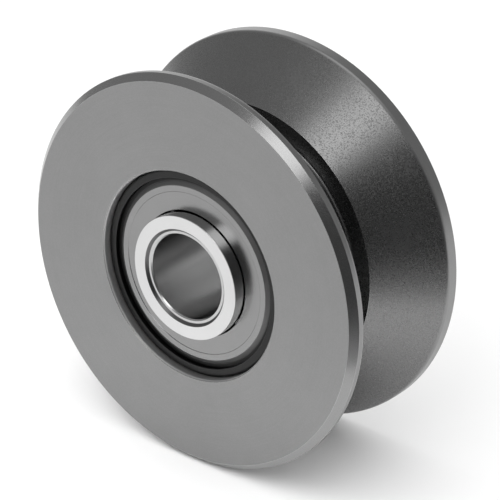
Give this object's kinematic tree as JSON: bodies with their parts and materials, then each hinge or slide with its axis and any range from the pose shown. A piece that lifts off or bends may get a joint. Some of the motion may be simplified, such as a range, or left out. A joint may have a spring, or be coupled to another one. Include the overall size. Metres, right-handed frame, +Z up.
{
  "type": "cam follower",
  "caption": "Bore-mounted V-groove cam follower: a dark steel wheel on shielded ball bearings, whose inner rings clamp on a fixed pin while the rim runs along a V-shaped rail.",
  "frame": {"origin": "the wheel's centre, on its axis, half way between the two clamping faces", "axes": "+Y along the wheel's axis from the front (marked side in the picture) to the back, +Z up, +X to the right seen from the front"},
  "size_m": [0.0888, 0.0382, 0.0888],
  "materials": {
    "black_oxide_steel": "turned, then blackened and oiled",
    "outer_ring_steel": "hardened and ground, dark with oil",
    "ground_ring_steel": "bright ground",
    "shield_sheet_steel": "pressed sheet, matt grey",
    "cage_sheet_steel": "pressed sheet",
    "rivet_steel": "headed wire",
    "ball_steel": "polished",
    "sleeve_steel": "honed bore",
    "spacer_steel": "turned"
  },
  "bodies": {
    "inner_assembly": {"sleeve": "sleeve_steel", "ring_spacer": "spacer_steel", "front_inner_ring": "ground_ring_steel", "back_inner_ring": "ground_ring_steel"},
    "wheel_assembly": {"wheel": "black_oxide_steel", "front_outer_ring": "outer_ring_steel", "front_outer_shield": "shield_sheet_steel", "front_inner_shield": "shield_sheet_steel", "back_outer_ring": "outer_ring_steel", "back_outer_shield": "shield_sheet_steel", "back_inner_shield": "shield_sheet_steel"},
    "front_cage": {"front_cage_outer_half": "cage_sheet_steel", "front_cage_inner_half": "cage_sheet_steel", "front_cage_rivets": "rivet_steel"},
    "front_ball_1": {"front_ball_1": "ball_steel"},
    "front_ball_2": {"front_ball_2": "ball_steel"},
    "front_ball_3": {"front_ball_3": "ball_steel"},
    "front_ball_4": {"front_ball_4": "ball_steel"},
    "front_ball_5": {"front_ball_5": "ball_steel"},
    "front_ball_6": {"front_ball_6": "ball_steel"},
    "front_ball_7": {"front_ball_7": "ball_steel"},
    "front_ball_8": {"front_ball_8": "ball_steel"},
    "back_cage": {"back_cage_outer_half": "cage_sheet_steel", "back_cage_inner_half": "cage_sheet_steel", "back_cage_rivets": "rivet_steel"},
    "back_ball_1": {"back_ball_1": "ball_steel"},
    "back_ball_2": {"back_ball_2": "ball_steel"},
    "back_ball_3": {"back_ball_3": "ball_steel"},
    "back_ball_4": {"back_ball_4": "ball_steel"},
    "back_ball_5": {"back_ball_5": "ball_steel"},
    "back_ball_6": {"back_ball_6": "ball_steel"},
    "back_ball_7": {"back_ball_7": "ball_steel"},
    "back_ball_8": {"back_ball_8": "ball_steel"}
  },
  "joints": [
    {"name": "wheel_spin", "type": "hinge", "parent": "inner_assembly", "child": "wheel_assembly", "pos_m": [0, 0, 0], "axis": [0, 1, 0], "continuous": true},
    {"name": "front_cage_spin", "type": "hinge", "parent": "inner_assembly", "child": "front_cage", "pos_m": [0, -0.00965, 0], "axis": [0, 1, 0], "continuous": true},
    {"name": "front_ball_1_spin", "type": "hinge", "parent": "front_cage", "child": "front_ball_1", "pos_m": [0, -0.00965, 0.01685], "axis": [0, 1, 0], "continuous": true},
    {"name": "front_ball_2_spin", "type": "hinge", "parent": "front_cage", "child": "front_ball_2", "pos_m": [0.01192, -0.00965, 0.01192], "axis": [0, 1, 0], "continuous": true},
    {"name": "front_ball_3_spin", "type": "hinge", "parent": "front_cage", "child": "front_ball_3", "pos_m": [0.01685, -0.00965, 0], "axis": [0, 1, 0], "continuous": true},
    {"name": "front_ball_4_spin", "type": "hinge", "parent": "front_cage", "child": "front_ball_4", "pos_m": [0.01192, -0.00965, -0.01192], "axis": [0, 1, 0], "continuous": true},
    {"name": "front_ball_5_spin", "type": "hinge", "parent": "front_cage", "child": "front_ball_5", "pos_m": [0, -0.00965, -0.01685], "axis": [0, 1, 0], "continuous": true},
    {"name": "front_ball_6_spin", "type": "hinge", "parent": "front_cage", "child": "front_ball_6", "pos_m": [-0.01192, -0.00965, -0.01192], "axis": [0, 1, 0], "continuous": true},
    {"name": "front_ball_7_spin", "type": "hinge", "parent": "front_cage", "child": "front_ball_7", "pos_m": [-0.01685, -0.00965, 0], "axis": [0, 1, 0], "continuous": true},
    {"name": "front_ball_8_spin", "type": "hinge", "parent": "front_cage", "child": "front_ball_8", "pos_m": [-0.01192, -0.00965, 0.01192], "axis": [0, 1, 0], "continuous": true},
    {"name": "back_cage_spin", "type": "hinge", "parent": "inner_assembly", "child": "back_cage", "pos_m": [0, 0.00965, 0], "axis": [0, 1, 0], "continuous": true},
    {"name": "back_ball_1_spin", "type": "hinge", "parent": "back_cage", "child": "back_ball_1", "pos_m": [0, 0.00965, 0.01685], "axis": [0, 1, 0], "continuous": true},
    {"name": "back_ball_2_spin", "type": "hinge", "parent": "back_cage", "child": "back_ball_2", "pos_m": [0.01192, 0.00965, 0.01192], "axis": [0, 1, 0], "continuous": true},
    {"name": "back_ball_3_spin", "type": "hinge", "parent": "back_cage", "child": "back_ball_3", "pos_m": [0.01685, 0.00965, 0], "axis": [0, 1, 0], "continuous": true},
    {"name": "back_ball_4_spin", "type": "hinge", "parent": "back_cage", "child": "back_ball_4", "pos_m": [0.01192, 0.00965, -0.01192], "axis": [0, 1, 0], "continuous": true},
    {"name": "back_ball_5_spin", "type": "hinge", "parent": "back_cage", "child": "back_ball_5", "pos_m": [0, 0.00965, -0.01685], "axis": [0, 1, 0], "continuous": true},
    {"name": "back_ball_6_spin", "type": "hinge", "parent": "back_cage", "child": "back_ball_6", "pos_m": [-0.01192, 0.00965, -0.01192], "axis": [0, 1, 0], "continuous": true},
    {"name": "back_ball_7_spin", "type": "hinge", "parent": "back_cage", "child": "back_ball_7", "pos_m": [-0.01685, 0.00965, 0], "axis": [0, 1, 0], "continuous": true},
    {"name": "back_ball_8_spin", "type": "hinge", "parent": "back_cage", "child": "back_ball_8", "pos_m": [-0.01192, 0.00965, 0.01192], "axis": [0, 1, 0], "continuous": true}
  ],
  "couplings": [
    {"joint": "front_cage_spin", "follows": "wheel_spin", "ratio": 0.61777},
    {"joint": "front_ball_1_spin", "follows": "wheel_spin", "ratio": 2.0049},
    {"joint": "front_ball_2_spin", "follows": "wheel_spin", "ratio": 2.0049},
    {"joint": "front_ball_3_spin", "follows": "wheel_spin", "ratio": 2.0049},
    {"joint": "front_ball_4_spin", "follows": "wheel_spin", "ratio": 2.0049},
    {"joint": "front_ball_5_spin", "follows": "wheel_spin", "ratio": 2.0049},
    {"joint": "front_ball_6_spin", "follows": "wheel_spin", "ratio": 2.0049},
    {"joint": "front_ball_7_spin", "follows": "wheel_spin", "ratio": 2.0049},
    {"joint": "front_ball_8_spin", "follows": "wheel_spin", "ratio": 2.0049},
    {"joint": "back_cage_spin", "follows": "wheel_spin", "ratio": 0.61777},
    {"joint": "back_ball_1_spin", "follows": "wheel_spin", "ratio": 2.0049},
    {"joint": "back_ball_2_spin", "follows": "wheel_spin", "ratio": 2.0049},
    {"joint": "back_ball_3_spin", "follows": "wheel_spin", "ratio": 2.0049},
    {"joint": "back_ball_4_spin", "follows": "wheel_spin", "ratio": 2.0049},
    {"joint": "back_ball_5_spin", "follows": "wheel_spin", "ratio": 2.0049},
    {"joint": "back_ball_6_spin", "follows": "wheel_spin", "ratio": 2.0049},
    {"joint": "back_ball_7_spin", "follows": "wheel_spin", "ratio": 2.0049},
    {"joint": "back_ball_8_spin", "follows": "wheel_spin", "ratio": 2.0049}
  ]
}
